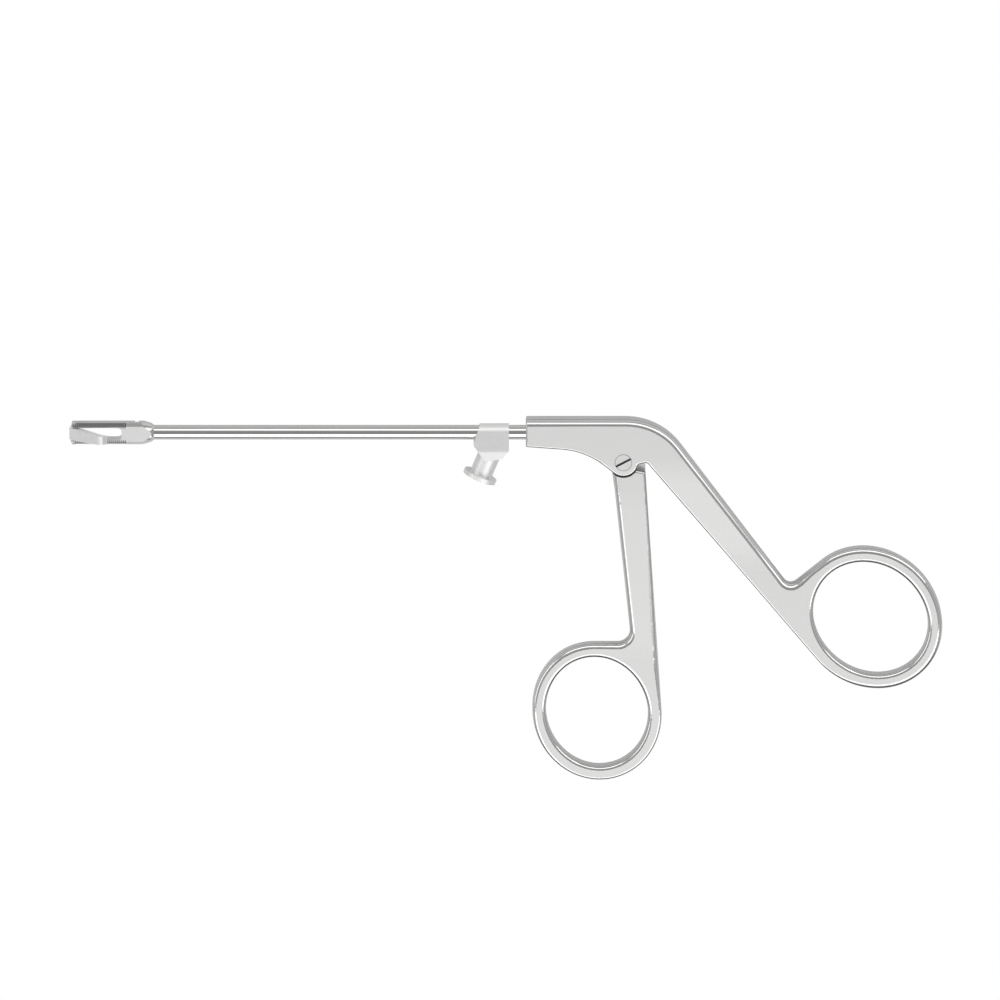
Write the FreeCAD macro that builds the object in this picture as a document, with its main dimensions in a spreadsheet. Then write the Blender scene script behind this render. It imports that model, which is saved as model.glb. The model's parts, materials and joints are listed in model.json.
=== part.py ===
import FreeCAD, Part
import math
import os

# An antrum punch with a backward cutting jaw, lying on its flat side.
# X runs along the shaft towards the handles, Y from the finger ring up to the shaft,
# Z up from the table. The lever's pivot stands on the origin.

V = FreeCAD.Vector
doc = FreeCAD.newDocument("antrum_punch")

# Driving dimensions, in millimetres, degrees and counts
SIZES = (
    # fixed handle
    ("body_thick", 6.5, "thickness of the fixed handle around the pivot"),
    ("body_front", 23.35, "front face of the body, ahead of the pivot"),
    ("tube_rise", 6.75, "axis of the tube above the pivot"),
    ("body_crown", 3.55, "top of the body above the tube's axis"),
    ("body_chin", 2.95, "underside of the body's front below the tube's axis"),
    ("chin_fall", 4.3, "slope of the underside, in degrees"),
    ("flank_fall", 38, "slope of the flank that runs down to the boss, in degrees"),
    ("flank_radius", 18, "curve from the underside into the flank"),
    ("boss_radius", 3.5, "round boss under the pivot"),
    ("boss_end", 20, "angle below the shaft at which the boss ends, in degrees"),
    ("boss_neck", 0.75, "straight step behind the boss"),
    ("neck_radius", 0.6, "small curve behind the boss"),
    ("fork_x", 5.65, "where lever and rear arm part, behind the pivot"),
    ("fork_y", -0.05, "where lever and rear arm part, above the pivot"),
    ("fork_radius", 0.9, "curve between lever and rear arm"),
    ("bend_x", 8.74, "corner of the rear arm's outer edge, behind the pivot"),
    ("bend_radius", 16.5, "curve of that corner"),
    ("arm_fall", 53, "slope of the rear arm's outer edge, in degrees"),
    ("edge_round", 1.5, "rounding of the handles' edges that the hand rests on"),
    ("ring_round", 1.1, "the same where it runs over a ring"),
    ("edge_break", 0.45, "rounding of the edges that face the other handle"),
    ("rim_round", 0.9, "rounding inside the rings"),
    ("face_round", 0.4, "rounding round the body's front face"),
    ("taper_blend", 150, "curves that lead in and out of the handles' taper"),
    ("body_taper", 2, "where the fixed handle's taper begins, below the pivot"),
    ("lever_taper", 9, "where the lever's taper begins, below the pivot"),
    ("taper_end", 15, "where both tapers end, above the centre of the ring"),
    # rings
    ("ring_thick", 4.6, "thickness of both rings"),
    ("thumb_reach", 70, "centre of the thumb ring along the rear arm's outer edge"),
    ("thumb_aside", 11, "centre of the thumb ring to the left of that edge"),
    ("thumb_long", 14.9, "half the long opening of the thumb ring"),
    ("thumb_short", 12.95, "half the short opening of the thumb ring"),
    ("thumb_turn", 5.5, "turn of its long opening off that edge, in degrees"),
    ("thumb_wall", 3.4, "width of the thumb ring's metal"),
    ("thumb_crotch", 52, "where the arm's outer edge turns into the ring, from the bend"),
    ("thumb_curve", 2.0, "curve of that corner"),
    ("finger_reach", 58.65, "centre of the finger ring along the lever's front edge"),
    ("finger_aside", -10.05, "centre of the finger ring to the left of that edge"),
    ("finger_long", 13.75, "half the long opening of the finger ring"),
    ("finger_short", 12.25, "half the short opening of the finger ring"),
    ("finger_turn", 7.8, "turn of its long opening off that edge, in degrees"),
    ("finger_wall", 3.25, "width of the finger ring's metal"),
    ("finger_crotch", 42.7, "where the lever's front edge turns into the ring"),
    ("finger_curve", 3.0, "curve of that corner"),
    # lever
    ("lever_thick", 6.1, "thickness of the lever under the body"),
    ("shoulder_gap", 0.28, "gap between the boss and the lever's shoulder"),
    ("shoulder_front", 131, "angle at which the shoulder begins, in degrees"),
    ("shoulder_rear", 32, "angle at which the shoulder ends, in degrees"),
    ("lever_back", 5.3, "rear edge of the lever, behind the pivot"),
    ("lever_top", 2.4, "top of the lever's rear corner, below the pivot"),
    ("lever_lean", 6.2, "slope of the lever's front edge, in degrees"),
    ("lever_round", 1.2, "rounding of the lever's front edges"),
    ("lever_break", 0.6, "rounding of the lever's rear edges"),
    ("heel_round", 0.4, "rounding of the lever's rear corner"),
    ("tongue_thick", 2.2, "thickness of the tongue inside the body"),
    ("tongue_front", 3.1, "front edge of the tongue at the pivot"),
    ("tongue_head", 1.55, "radius of the tongue round its drive pin"),
    ("tongue_neck", 4.05, "where the tongue narrows to its head, above the pivot"),
    ("tongue_curve", 3.0, "curves of that narrowing"),
    ("tongue_root", 8.0, "lower end of the tongue inside the lever, below the pivot"),
    ("tongue_inset", 0.6, "front edge of the tongue's root behind the lever's edge"),
    ("tongue_heel", 0.45, "the tongue's lower corners, below the pivot"),
    ("slot_play", 0.1, "gap on each side of the tongue in the body's slot"),
    ("slot_front", 4.3, "front end of the body's slot, ahead of the pivot"),
    ("slot_rear", 6.3, "rear end of the body's slot, behind the pivot"),
    # pivot screw
    ("head_radius", 2.05, "head of the pivot screw"),
    ("head_thick", 1.15, "thickness of the head"),
    ("shank_radius", 1.5, "plain shank that the lever turns on"),
    ("thread_radius", 1.25, "threaded end in the far cheek"),
    ("driver_width", 0.55, "width of the driver slot"),
    ("driver_depth", 0.75, "depth of the driver slot"),
    ("driver_angle", 28, "direction of the driver slot, in degrees"),
    ("seat_play", 0.02, "gap round pieces that are pressed or brazed together"),
    ("turn_play", 0.04, "gap round pins that a piece turns on"),
    # shaft
    ("tube_radius", 1.75, "outside of the tube"),
    ("tube_bore", 1.3, "inside of the tube"),
    ("tube_front", 112.4, "front end of the tube, ahead of the pivot"),
    ("tube_back", 13.9, "rear end of the tube, ahead of the pivot"),
    ("bore_radius", 2.2, "bore of the body along the shaft"),
    ("bore_back", 4.3, "end of the body's bore, behind the pivot"),
    ("sleeve_back", 13.6, "rear end of the tube's sleeve"),
    ("seal_space", 1.2, "space for the seal ring"),
    ("bush_length", 5.0, "length of the rod's guide bush"),
    ("rod_radius", 1.1, "push rod"),
    ("rod_front", 113.9, "shoulder at the rod's front end"),
    ("stub_radius", 0.46, "thin end of the rod"),
    ("stub_drop", 0.6, "thin end's axis below the tube's axis"),
    ("rod_play", 0.04, "gap round the rod in its bush and seal"),
    # clevis at the rod's rear end
    ("clevis_radius", 2.12, "outside of the clevis"),
    ("clevis_ahead", 5.4, "front end of the clevis, ahead of the drive pin"),
    ("clevis_behind", 2.1, "rear end of the clevis, behind the drive pin"),
    ("clevis_slit", 2.3, "front end of its slit, ahead of the drive pin"),
    ("drive_radius", 0.6, "lever's drive pin"),
    ("drive_half", 1.8, "half the length of that pin"),
    ("drive_play", 0.06, "gap round the drive pins in their slots"),
    ("drive_climb", 0.3, "extra height of the clevis slot for the pin's arc"),
    ("cross_radius", 0.4, "cross pin through clevis and rod"),
    # head and jaw
    ("head_half", 2.6, "half the width of the head"),
    ("head_top", 2.25, "toothed face above the tube's axis"),
    ("head_floor", 2.67, "back of the head below the tube's axis"),
    ("head_side_low", 1.1, "height of the straight sides below the axis"),
    ("head_side_high", 1.5, "height of the straight sides above the axis"),
    ("head_bevel", 0.75, "width of the toothed bevel"),
    ("head_belly", 1.3, "width of the bevel on the back"),
    ("head_front", 132.3, "front end of the head, ahead of the pivot"),
    ("notch_back", 116.05, "rear end of the slide's space, ahead of the pivot"),
    ("notch_gap", 0.95, "gap behind the slide at rest"),
    ("head_flare", 115.6, "where the head begins to narrow"),
    ("flare_radius", 3.05, "radius of the cone where the head begins to narrow"),
    ("head_tip", 113.0, "where its flat face ends in a point"),
    ("split_gap", 0.06, "gap between head and slide"),
    ("window_half", 1.55, "half the width of the window"),
    ("window_back", 120.1, "rear end of the window, ahead of the pivot"),
    ("window_round", 1.0, "corners of the window"),
    ("relief_length", 2.6, "length of the relief at the front of the head"),
    ("relief_depth", 0.35, "depth of that relief"),
    ("nose_round", 1.0, "corners of the head's front end"),
    ("slant_high", 0.7, "height of the slant at the rails' front end"),
    ("slant_long", 0.55, "length of that slant"),
    ("notch_wall", 0.45, "wall between the slide's space and the rod's hole"),
    ("tooth_count", 27, "teeth on each rail"),
    ("tooth_pitch", 0.475, "distance from tooth to tooth"),
    ("tooth_start", 0.5, "first groove behind the head's front end"),
    ("tooth_depth", 0.4, "depth of the tooth grooves"),
    ("tooth_width", 0.36, "width of the tooth grooves"),
    ("hinge_x", 131.6, "jaw hinge, ahead of the pivot"),
    ("hinge_rise", 1.15, "jaw hinge above the tube's axis"),
    ("hinge_radius", 0.5, "jaw hinge pin"),
    ("jaw_open", 44, "how far the jaw stands open, in degrees"),
    ("jaw_more", 22.8, "how much further it opens, in degrees"),
    ("jaw_crank", 2.25, "from the jaw's hinge to its drive pin"),
    ("crank_share", 0.958, "slide's travel as a share of the pin's arc"),
    ("jaw_half", 1.42, "half the width of the jaw at its root"),
    ("jaw_tip_half", 1.0, "half the width of the jaw at its free end"),
    ("jaw_narrow", 2.4, "where the jaw begins to narrow, from its hinge"),
    ("jaw_length", 10.7, "length of the jaw from its hinge"),
    ("jaw_back", 1.08, "outer face of the jaw above its hinge"),
    ("jaw_thick", 1.75, "thickness of the jaw at its root"),
    ("jaw_thin", 1.5, "thickness of the jaw before its lip"),
    ("lip_rise", 0.6, "height of the lip"),
    ("lip_length", 1.8, "length of the lip's curve"),
    ("lug_radius", 0.62, "jaw's lug round its drive pin"),
    ("jaw_pin_radius", 0.35, "jaw's drive pin"),
    ("jaw_pin_half", 2.0, "half the length of that pin"),
    # slide
    ("slide_front", 132.05, "front end of the slide, ahead of the pivot"),
    ("slide_floor", 2.3, "back of the slide below the tube's axis"),
    ("slide_step", 121.3, "where the slide's back begins to rise"),
    ("slide_ramp", 0.6, "length of that rise"),
    ("slide_nose", 1.0, "round front end of the slide"),
    ("slide_bevel", 0.5, "bevel of the slide's front end at the split"),
    ("stub_depth", 2.5, "how far the rod's thin end goes into the slide"),
    ("slide_pin_radius", 0.3, "cross pin through slide and rod"),
    ("slide_pin_set", 1.3, "that pin ahead of the slide's rear end"),
    # flushing port
    ("collar_radius", 2.15, "saddle round the tube"),
    ("collar_behind", 2.4, "rear end of the saddle behind the port's foot"),
    ("collar_ahead", 4.4, "front end of the saddle's top ahead of the port's foot"),
    ("keel_half", 3.08, "half the width of the saddle's lower end"),
    ("keel_shoulder", 4.0, "where the saddle reaches that width, below the tube's axis"),
    ("keel_curve", 3.0, "curve of the saddle's sides there"),
    ("port_foot", 29.8, "where the port's axis meets the tube's axis"),
    ("port_lean", 22.8, "lean of the port away from the square, in degrees"),
    ("port_radius", 2.7, "outside of the port's tube"),
    ("port_end", 11.2, "lower end of the port's tube from the tube's axis"),
    ("port_gap", 0.1, "gap between the port's tube and the shaft's tube"),
    ("flange_radius", 4.1, "flange at the port's mouth"),
    ("flange_thick", 1.0, "thickness of the flange"),
    ("socket_radius", 2.35, "sleeve of the mouthpiece in the port's tube"),
    ("socket_length", 7.0, "length of that sleeve"),
    ("mouth_radius", 2.14, "mouth of the tapered bore"),
    ("throat_radius", 1.95, "inner end of the tapered bore"),
    ("throat_length", 2.5, "straight bore behind the taper"),
    ("duct_radius", 0.8, "hole through the wall of the tube"),
)

sheet = doc.addObject("Spreadsheet::Sheet", "sizes")
for row, (alias, value, meaning) in enumerate(SIZES, start=1):
    sheet.set(f"A{row}", meaning)
    sheet.set(f"B{row}", str(value))
    sheet.setAlias(f"B{row}", alias)
doc.recompute()

BEYOND = 20         # how far cutting outlines and tools reach past the metal


def size(alias):
    """The value of a driving dimension."""
    return float(sheet.get(alias))


def sin(degrees):
    return math.sin(math.radians(degrees))


def cos(degrees):
    return math.cos(math.radians(degrees))


# Motion worked out from the driving dimensions
crank_travel = size("crank_share") * size("jaw_crank")
close_travel = crank_travel * math.radians(size("jaw_open"))
more_travel = crank_travel * math.radians(size("jaw_more"))
jaw_offset = (size("jaw_open") - size("jaw_more")) / 2
lever_offset = math.degrees((close_travel - more_travel) / 2 / size("tube_rise"))
drive_x = size("tube_rise") * sin(lever_offset)
drive_y = size("tube_rise") * cos(lever_offset)
crank_x = size("jaw_crank") * sin(jaw_offset)
crank_z = -size("jaw_crank") * cos(jaw_offset)

# The ends of the port's saddle, from the pivot
collar_front = -size("port_foot") - size("collar_ahead")
collar_back = -size("port_foot") + size("collar_behind")

# The port's tube starts where its slanted end just clears the shaft's tube
port_start = ((size("tube_radius") + size("port_radius") * sin(size("port_lean")))
              / cos(size("port_lean")) + size("port_gap"))


# Helpers for plane outlines

def meet(point_a, angle_a, point_b, angle_b):
    """The point where two lines cross, each given by a point and a direction."""
    ax, ay = cos(angle_a), sin(angle_a)
    bx, by = cos(angle_b), sin(angle_b)
    across = ax * by - ay * bx
    reach = ((point_b[0] - point_a[0]) * by - (point_b[1] - point_a[1]) * bx) / across
    return point_a[0] + reach * ax, point_a[1] + reach * ay


def trail(corners, closed=False):
    """Lines through corners (x, y, radius), with an arc at each corner that has a radius."""
    count = len(corners)
    ends = []
    pieces = []
    for index, (x, y, radius) in enumerate(corners):
        here = V(x, y, 0)
        inside = closed or 0 < index < count - 1
        if radius == 0 or not inside:
            ends.append((here, here))
            continue
        before = V(*corners[index - 1][:2], 0)
        after = V(*corners[(index + 1) % count][:2], 0)
        back = (before - here).normalize()
        ahead = (after - here).normalize()
        half = back.getAngle(ahead) / 2
        start = here + back * (radius / math.tan(half))
        finish = here + ahead * (radius / math.tan(half))
        middle = here + (back + ahead).normalize() * (radius / math.sin(half) - radius)
        pieces.append(Part.Arc(start, middle, finish))
        ends.append((start, finish))
    runs = count if closed else count - 1
    for index in range(runs):
        start = ends[index][1]
        finish = ends[(index + 1) % count][0]
        if start.distanceToPoint(finish) > 1e-6:
            pieces.append(Part.LineSegment(start, finish))
    return pieces


def circle(x, y, radius):
    return [Part.Circle(V(x, y, 0), V(0, 0, 1), radius)]


class Oval:
    """A ring's outline: centre, half axes and the direction of the long one."""

    def __init__(self, x, y, long_half, short_half, lean):
        self.centre = V(x, y, 0)
        self.long_half = long_half
        self.short_half = short_half
        self.along = V(cos(lean), sin(lean), 0)
        self.across = V(-sin(lean), cos(lean), 0)

    def ellipse(self):
        long_end = self.centre + self.along * self.long_half
        short_end = self.centre + self.across * self.short_half
        return Part.Ellipse(long_end, short_end, self.centre)

    def round_place(self, point):
        """The point's place where the oval is drawn as a circle of radius one."""
        offset = V(point[0], point[1], 0) - self.centre
        return offset.dot(self.along) / self.long_half, offset.dot(self.across) / self.short_half

    def spot(self, turn):
        return (self.centre + self.along * (self.long_half * math.cos(turn))
                + self.across * (self.short_half * math.sin(turn)))

    def tangent_turn(self, point, side):
        """Where a tangent from the point touches the oval; side picks one of the two."""
        u, w = self.round_place(point)
        return math.atan2(w, u) + side * math.acos(1 / math.hypot(u, w))

    def lowest_turn(self):
        """Where the oval reaches furthest down."""
        return math.atan2(-self.across.y * self.short_half, -self.along.y * self.long_half)

    def arc(self, first, last):
        """The part of the oval that runs anticlockwise from first to last."""
        while last < first:
            last += 2 * math.pi
        return Part.ArcOfEllipse(self.ellipse(), first, last)


# Helpers for features

def bind(item, prop, expression):
    item.setExpression(prop, expression)
    return item


def place(item, x="0", y="0", z="sizes.body_thick / 2"):
    """Binds the place of a sub-part; its own mid-plane lies on the handle's mid-plane."""
    bind(item, "Placement.Base.x", x)
    bind(item, "Placement.Base.y", y)
    bind(item, "Placement.Base.z", z)
    return item


def new_body(name):
    part = doc.addObject("PartDesign::Body", name)
    part.Label = name
    return part


def sketch(part, name, role, geometry, lift=None, tilt=0):
    """A sketch on one of the body's own origin planes, lifted or tilted off it."""
    drawing = part.newObject("Sketcher::SketchObject", name)
    plane = [item for item in part.Origin.OriginFeatures if item.Role == role][0]
    drawing.AttachmentSupport = [(plane, "")]
    drawing.MapMode = "FlatFace"
    if tilt:
        turn = FreeCAD.Rotation(V(1, 0, 0), tilt)
        drawing.AttachmentOffset = FreeCAD.Placement(V(0, 0, 0), turn)
    if lift:
        bind(drawing, "AttachmentOffset.Base.z", lift)
    drawing.addGeometry(geometry, False)
    return drawing


def pad(part, drawing, length, both=True):
    feature = part.newObject("PartDesign::Pad", drawing.Name + "_pad")
    feature.Profile = drawing
    if both:
        feature.SideType = "Symmetric"
    bind(feature, "Length", length)
    doc.recompute()
    return feature


def pocket(part, drawing, length=None, both=True, flip=False):
    """Cuts the sketch out of the body: right through, or to a length."""
    before = part.Shape.Volume
    feature = part.newObject("PartDesign::Pocket", drawing.Name + "_cut")
    feature.Profile = drawing
    if both:
        feature.SideType = "Symmetric"
    if flip:
        feature.Reversed = True
    if length:
        bind(feature, "Length", length)
    else:
        feature.Type = "ThroughAll"
    doc.recompute()
    if part.Shape.Volume > before - 1e-6:
        raise RuntimeError(drawing.Name + " cuts nothing")
    return feature


def fillet(part, name, radius, wanted):
    """Rounds every edge of the body for which wanted(edge) holds."""
    base = part.Tip
    names = [f"Edge{number}" for number, edge in enumerate(base.Shape.Edges, start=1)
             if wanted(edge)]
    feature = part.newObject("PartDesign::Fillet", name)
    feature.Base = (base, names)
    bind(feature, "Radius", radius)
    doc.recompute()
    return feature


def middle(edge):
    return edge.valueAt((edge.FirstParameter + edge.LastParameter) / 2)


def upright(edge):
    """Whether an edge runs square to the flat sides."""
    first, last = edge.valueAt(edge.FirstParameter), edge.valueAt(edge.LastParameter)
    return edge.Length < 1.01 * abs(first.z - last.z)


def rim(edge):
    """Whether an edge lies along an outline, not square to the sides or across them."""
    first, last = edge.valueAt(edge.FirstParameter), edge.valueAt(edge.LastParameter)
    across = edge.Length < 1.0001 * abs(first.x - last.x) and first.distanceToPoint(
        V(last.x, first.y, first.z)) < 1e-4
    return not upright(edge) and not across


def soften(part, name, wanted, places):
    """Rounds edges of the body, each end by the radius of the nearest of places (x, y, radius).

    Gives the body that goes on from the rounded one.
    """
    edges = []
    for number, edge in enumerate(part.Shape.Edges, start=1):
        if not wanted(edge):
            continue
        ends = [edge.valueAt(edge.FirstParameter), edge.valueAt(edge.LastParameter)]
        if edge.Orientation == "Reversed":
            ends.reverse()
        radii = [min(places, key=lambda spot: math.hypot(end.x - spot[0], end.y - spot[1]))[2]
                 for end in ends]
        edges.append((number, *radii))
    rounded = doc.addObject("Part::Fillet", name + "_edges")
    rounded.Base = part
    rounded.Edges = edges
    doc.recompute()
    further = new_body(name)
    further.BaseFeature = rounded
    doc.recompute()
    return further


def cylinder(name, radius, height, axis="Z"):
    item = doc.addObject("Part::Cylinder", name)
    bind(item, "Radius", radius)
    bind(item, "Height", height)
    if axis == "X":
        item.Placement = FreeCAD.Placement(V(0, 0, 0), FreeCAD.Rotation(V(0, 1, 0), 90))
    if axis == "Y":
        item.Placement = FreeCAD.Placement(V(0, 0, 0), FreeCAD.Rotation(V(1, 0, 0), -90))
    return item


def cut(name, base, *tools):
    """Base less each tool; the last result carries the name."""
    for number, tool in enumerate(tools, start=1):
        last = number == len(tools)
        item = doc.addObject("Part::Cut", name if last else f"{name}_step_{number}")
        item.Base = base
        item.Tool = tool
        base = item
    base.Label = name
    return base


def fuse(name, first, second):
    item = doc.addObject("Part::Fuse", name)
    item.Base = first
    item.Tool = second
    item.Refine = True
    item.Label = name
    return item


def taper_profile(start, ring, thick):
    """Both zones beside a handle that narrows from its thickness to the ring's, as (y, z)."""
    half, thin = thick / 2, size("ring_thick") / 2
    clear, far = start + BEYOND, ring.centre.y - ring.long_half - BEYOND
    finish = ring.centre.y + size("taper_end")
    blend = size("taper_blend")
    pieces = []
    for side in (1, -1):
        pieces += trail([(clear, side * half, 0), (start, side * half, blend),
                         (finish, side * thin, blend), (far, side * thin, 0),
                         (far, side * BEYOND, 0), (clear, side * BEYOND, 0)], closed=True)
    return pieces


def make_ring(prefix, start, angle):
    """The outer and the inner oval of a ring, set off from a handle's edge."""
    reach, aside = size(prefix + "_reach"), size(prefix + "_aside")
    x = start[0] + reach * cos(angle) - aside * sin(angle)
    y = start[1] + reach * sin(angle) + aside * cos(angle)
    long_half, short_half = size(prefix + "_long"), size(prefix + "_short")
    wall = size(prefix + "_wall")
    lean = angle + 180 + size(prefix + "_turn")
    outer = Oval(x, y, long_half + wall, short_half + wall, lean)
    inner = Oval(x, y, long_half, short_half, lean)
    return outer, inner


def fixed_handle():
    """Body, rear arm and thumb ring, forged in one piece."""
    front = -size("body_front")
    top = size("tube_rise") + size("body_crown")
    chin = size("tube_rise") - size("body_chin")
    arm_angle = -size("arm_fall")
    bend = (size("bend_x"), top)
    outer, inner = make_ring("thumb", bend, arm_angle)
    fork = (size("fork_x"), size("fork_y"))
    crotch = (bend[0] + size("thumb_crotch") * cos(arm_angle),
              bend[1] + size("thumb_crotch") * sin(arm_angle))
    ring_first = outer.tangent_turn(fork, 1)
    ring_last = outer.tangent_turn(crotch, -1)
    # the boss lies between two tangents, below the flank and below the fork
    boss = size("boss_radius")
    flank_angle = -size("flank_fall")
    flank_touch = (boss * cos(flank_angle - 90), boss * sin(flank_angle - 90))
    neck_angle = 90 - size("boss_end")
    neck_touch = (boss * sin(neck_angle), -boss * cos(neck_angle))
    boss_corner = meet(flank_touch, flank_angle, neck_touch, neck_angle)
    flank_corner = meet((front, chin), -size("chin_fall"), flank_touch, flank_angle)
    neck = (neck_touch[0] + size("boss_neck") * cos(neck_angle),
            neck_touch[1] + size("boss_neck") * sin(neck_angle))
    touch, rise = outer.spot(ring_first), outer.spot(ring_last)
    outline = trail([
        (touch.x, touch.y, 0),
        (*fork, size("fork_radius")),
        (*neck, size("neck_radius")),
        (*boss_corner, boss),
        (*flank_corner, size("flank_radius")),
        (front, chin, 0),
        (front, top, 0),
        (*bend, size("bend_radius")),
        (*crotch, size("thumb_curve")),
        (rise.x, rise.y, 0),
    ])
    low = outer.lowest_turn()
    outline += [outer.arc(ring_first, low), outer.arc(low, ring_last)]

    blank = new_body("handle_blank")
    pad(blank, sketch(blank, "handle_outline", "XY_Plane", outline), "sizes.body_thick + 2")
    sides = taper_profile(-size("body_taper"), outer, size("body_thick"))
    pocket(blank, sketch(blank, "handle_sides", "YZ_Plane", sides))
    wide, narrow = size("edge_round"), size("edge_break")
    bottom = outer.spot(low)
    part = soften(blank, "fixed_handle",
                  lambda edge: middle(edge).x > front + 0.01
                  and (rim(edge) or middle(edge).y > top - 0.01
                       or middle(edge).x < flank_corner[0]),
                  [(front, top, wide), (*bend, wide), (*crotch, wide),
                   (rise.x, rise.y, size("ring_round")), (bottom.x, bottom.y, narrow),
                   (touch.x, touch.y, narrow), (*fork, narrow), (*neck, narrow),
                   (*boss_corner, narrow), (*flank_corner, narrow), (front, chin, narrow)])
    fillet(part, "handle_face", "sizes.face_round",
           lambda edge: middle(edge).x < front + 0.01)
    pocket(part, sketch(part, "thumb_hole", "XY_Plane", [inner.ellipse()]))
    fillet(part, "thumb_rim", "sizes.rim_round",
           lambda edge: not upright(edge)
           and abs(math.hypot(*inner.round_place(middle(edge))) - 1) < 1e-3)

    # slot for the tongue, open below, and the bore for the shaft
    slot = trail([(-size("slot_front"), -BEYOND, 0), (size("slot_rear"), -BEYOND, 0),
                  (size("slot_rear"), size("tube_rise"), 0),
                  (size("bore_back"), size("tube_rise") + size("bore_radius"), 0),
                  (-size("slot_front"), size("tube_rise") + size("bore_radius"), 0)], closed=True)
    pocket(part, sketch(part, "tongue_slot", "XY_Plane", slot),
           "sizes.tongue_thick + 2 * sizes.slot_play")
    bore = sketch(part, "shaft_bore", "YZ_Plane",
                  circle(size("tube_rise"), 0, size("bore_radius")), "-sizes.body_front")
    pocket(part, bore, "sizes.body_front + sizes.bore_back", both=False, flip=True)
    # seats of the pivot screw
    seat = size("seat_play")
    pocket(part, sketch(part, "thread_hole", "XY_Plane",
                        circle(0, 0, size("thread_radius") + seat)))
    pocket(part, sketch(part, "shank_hole", "XY_Plane", circle(0, 0, size("shank_radius") + seat)),
           "sizes.body_thick", both=False, flip=True)
    pocket(part, sketch(part, "screw_recess", "XY_Plane", circle(0, 0, size("head_radius") + seat),
                        "sizes.body_thick / 2 - sizes.head_thick"),
           "sizes.body_thick", both=False, flip=True)
    place(part)
    return part


def finger_lever():
    """Lever with its tongue inside the body and the finger ring below."""
    shoulder = size("boss_radius") + size("shoulder_gap")
    first, last = -size("shoulder_front"), -size("shoulder_rear")
    start = (shoulder * cos(first), shoulder * sin(first))
    finish = (shoulder * cos(last), shoulder * sin(last))
    corner = (size("lever_back"), -size("lever_top"))
    front_angle = size("lever_lean") - 90
    outer, inner = make_ring("finger", start, front_angle)
    crotch = (start[0] + size("finger_crotch") * cos(front_angle),
              start[1] + size("finger_crotch") * sin(front_angle))
    ring_last = outer.tangent_turn(corner, -1)
    ring_first = outer.tangent_turn(crotch, 1)
    touch, rise = outer.spot(ring_last), outer.spot(ring_first)
    outline = trail([(rise.x, rise.y, 0), (*crotch, size("finger_curve")), (*start, 0)])
    turn = Part.Circle(V(0, 0, 0), V(0, 0, 1), shoulder)
    outline.append(Part.ArcOfCircle(turn, math.radians(first), math.radians(last)))
    outline += trail([(*finish, 0), (*corner, size("heel_round")), (touch.x, touch.y, 0)])
    low = outer.lowest_turn()
    outline += [outer.arc(ring_first, low), outer.arc(low, ring_last)]

    blank = new_body("lever_blank")
    pad(blank, sketch(blank, "lever_outline", "XY_Plane", outline), "sizes.lever_thick + 2")
    sides = taper_profile(-size("lever_taper"), outer, size("lever_thick"))
    pocket(blank, sketch(blank, "lever_sides", "YZ_Plane", sides))
    wide, narrow = size("lever_round"), size("lever_break")
    bottom = outer.spot(low)
    part = soften(blank, "finger_lever",
                  lambda edge: rim(edge) and middle(edge).distanceToPoint(V(0, 0, 0)) > 7,
                  [(*start, wide), (*crotch, wide), (rise.x, rise.y, size("ring_round")),
                   (bottom.x, bottom.y, narrow), (touch.x, touch.y, narrow), (*corner, narrow)])
    pocket(part, sketch(part, "finger_hole", "XY_Plane", [inner.ellipse()]))
    fillet(part, "finger_rim", "sizes.rim_round",
           lambda edge: not upright(edge)
           and abs(math.hypot(*inner.round_place(middle(edge))) - 1) < 1e-3)

    # the tongue reaches from inside the lever past the pivot to the drive pin
    head = size("tongue_head")
    root, heel = -size("tongue_root"), -size("tongue_heel")
    neck, curve = size("tongue_neck"), size("tongue_curve")
    tongue = trail([
        (start[0] + size("tongue_inset"), root, 0),
        (corner[0], root, 0),
        (corner[0], heel, size("heel_round")),
        (drive_x + head, neck, curve),
        (drive_x + head, drive_y + head, head),
        (drive_x - head, drive_y + head, head),
        (drive_x - head, neck, curve),
        (-size("tongue_front"), heel, head),
    ], closed=True)
    pad(part, sketch(part, "tongue_outline", "XY_Plane", tongue), "sizes.tongue_thick")
    pocket(part, sketch(part, "pivot_hole", "XY_Plane",
                        circle(0, 0, size("shank_radius") + size("turn_play"))))
    pocket(part, sketch(part, "drive_hole", "XY_Plane",
                        circle(drive_x, drive_y, size("drive_radius") + size("seat_play"))))
    place(part)
    return part


def pivot_screw():
    """Shoulder screw with a flush slotted head; its far end is flush with the far side."""
    half = size("body_thick") / 2
    far = -size("tongue_thick") / 2 - size("slot_play")
    part = new_body("pivot_screw")
    profile = trail([
        (0, -half, 0), (size("thread_radius"), -half, 0), (size("thread_radius"), far, 0),
        (size("shank_radius"), far, 0), (size("shank_radius"), half - size("head_thick"), 0),
        (size("head_radius"), half - size("head_thick"), 0), (size("head_radius"), half, 0),
        (0, half, 0)], closed=True)
    drawing = sketch(part, "screw_profile", "XZ_Plane", profile)
    turned = part.newObject("PartDesign::Revolution", "screw_turned")
    turned.Profile = drawing
    turned.ReferenceAxis = (drawing, ["V_Axis"])
    turned.Angle = 360
    doc.recompute()
    reach, width = size("head_radius") + 1, size("driver_width") / 2
    lean = size("driver_angle")
    corners = [(-reach, -width), (reach, -width), (reach, width), (-reach, width)]
    slot = trail([(x * cos(lean) - y * sin(lean), x * sin(lean) + y * cos(lean), 0)
                  for x, y in corners], closed=True)
    pocket(part, sketch(part, "driver_slot", "XY_Plane", slot,
                        "sizes.body_thick / 2 - sizes.driver_depth"),
           "sizes.driver_depth * 2", both=False, flip=True)
    place(part)
    return part


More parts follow.
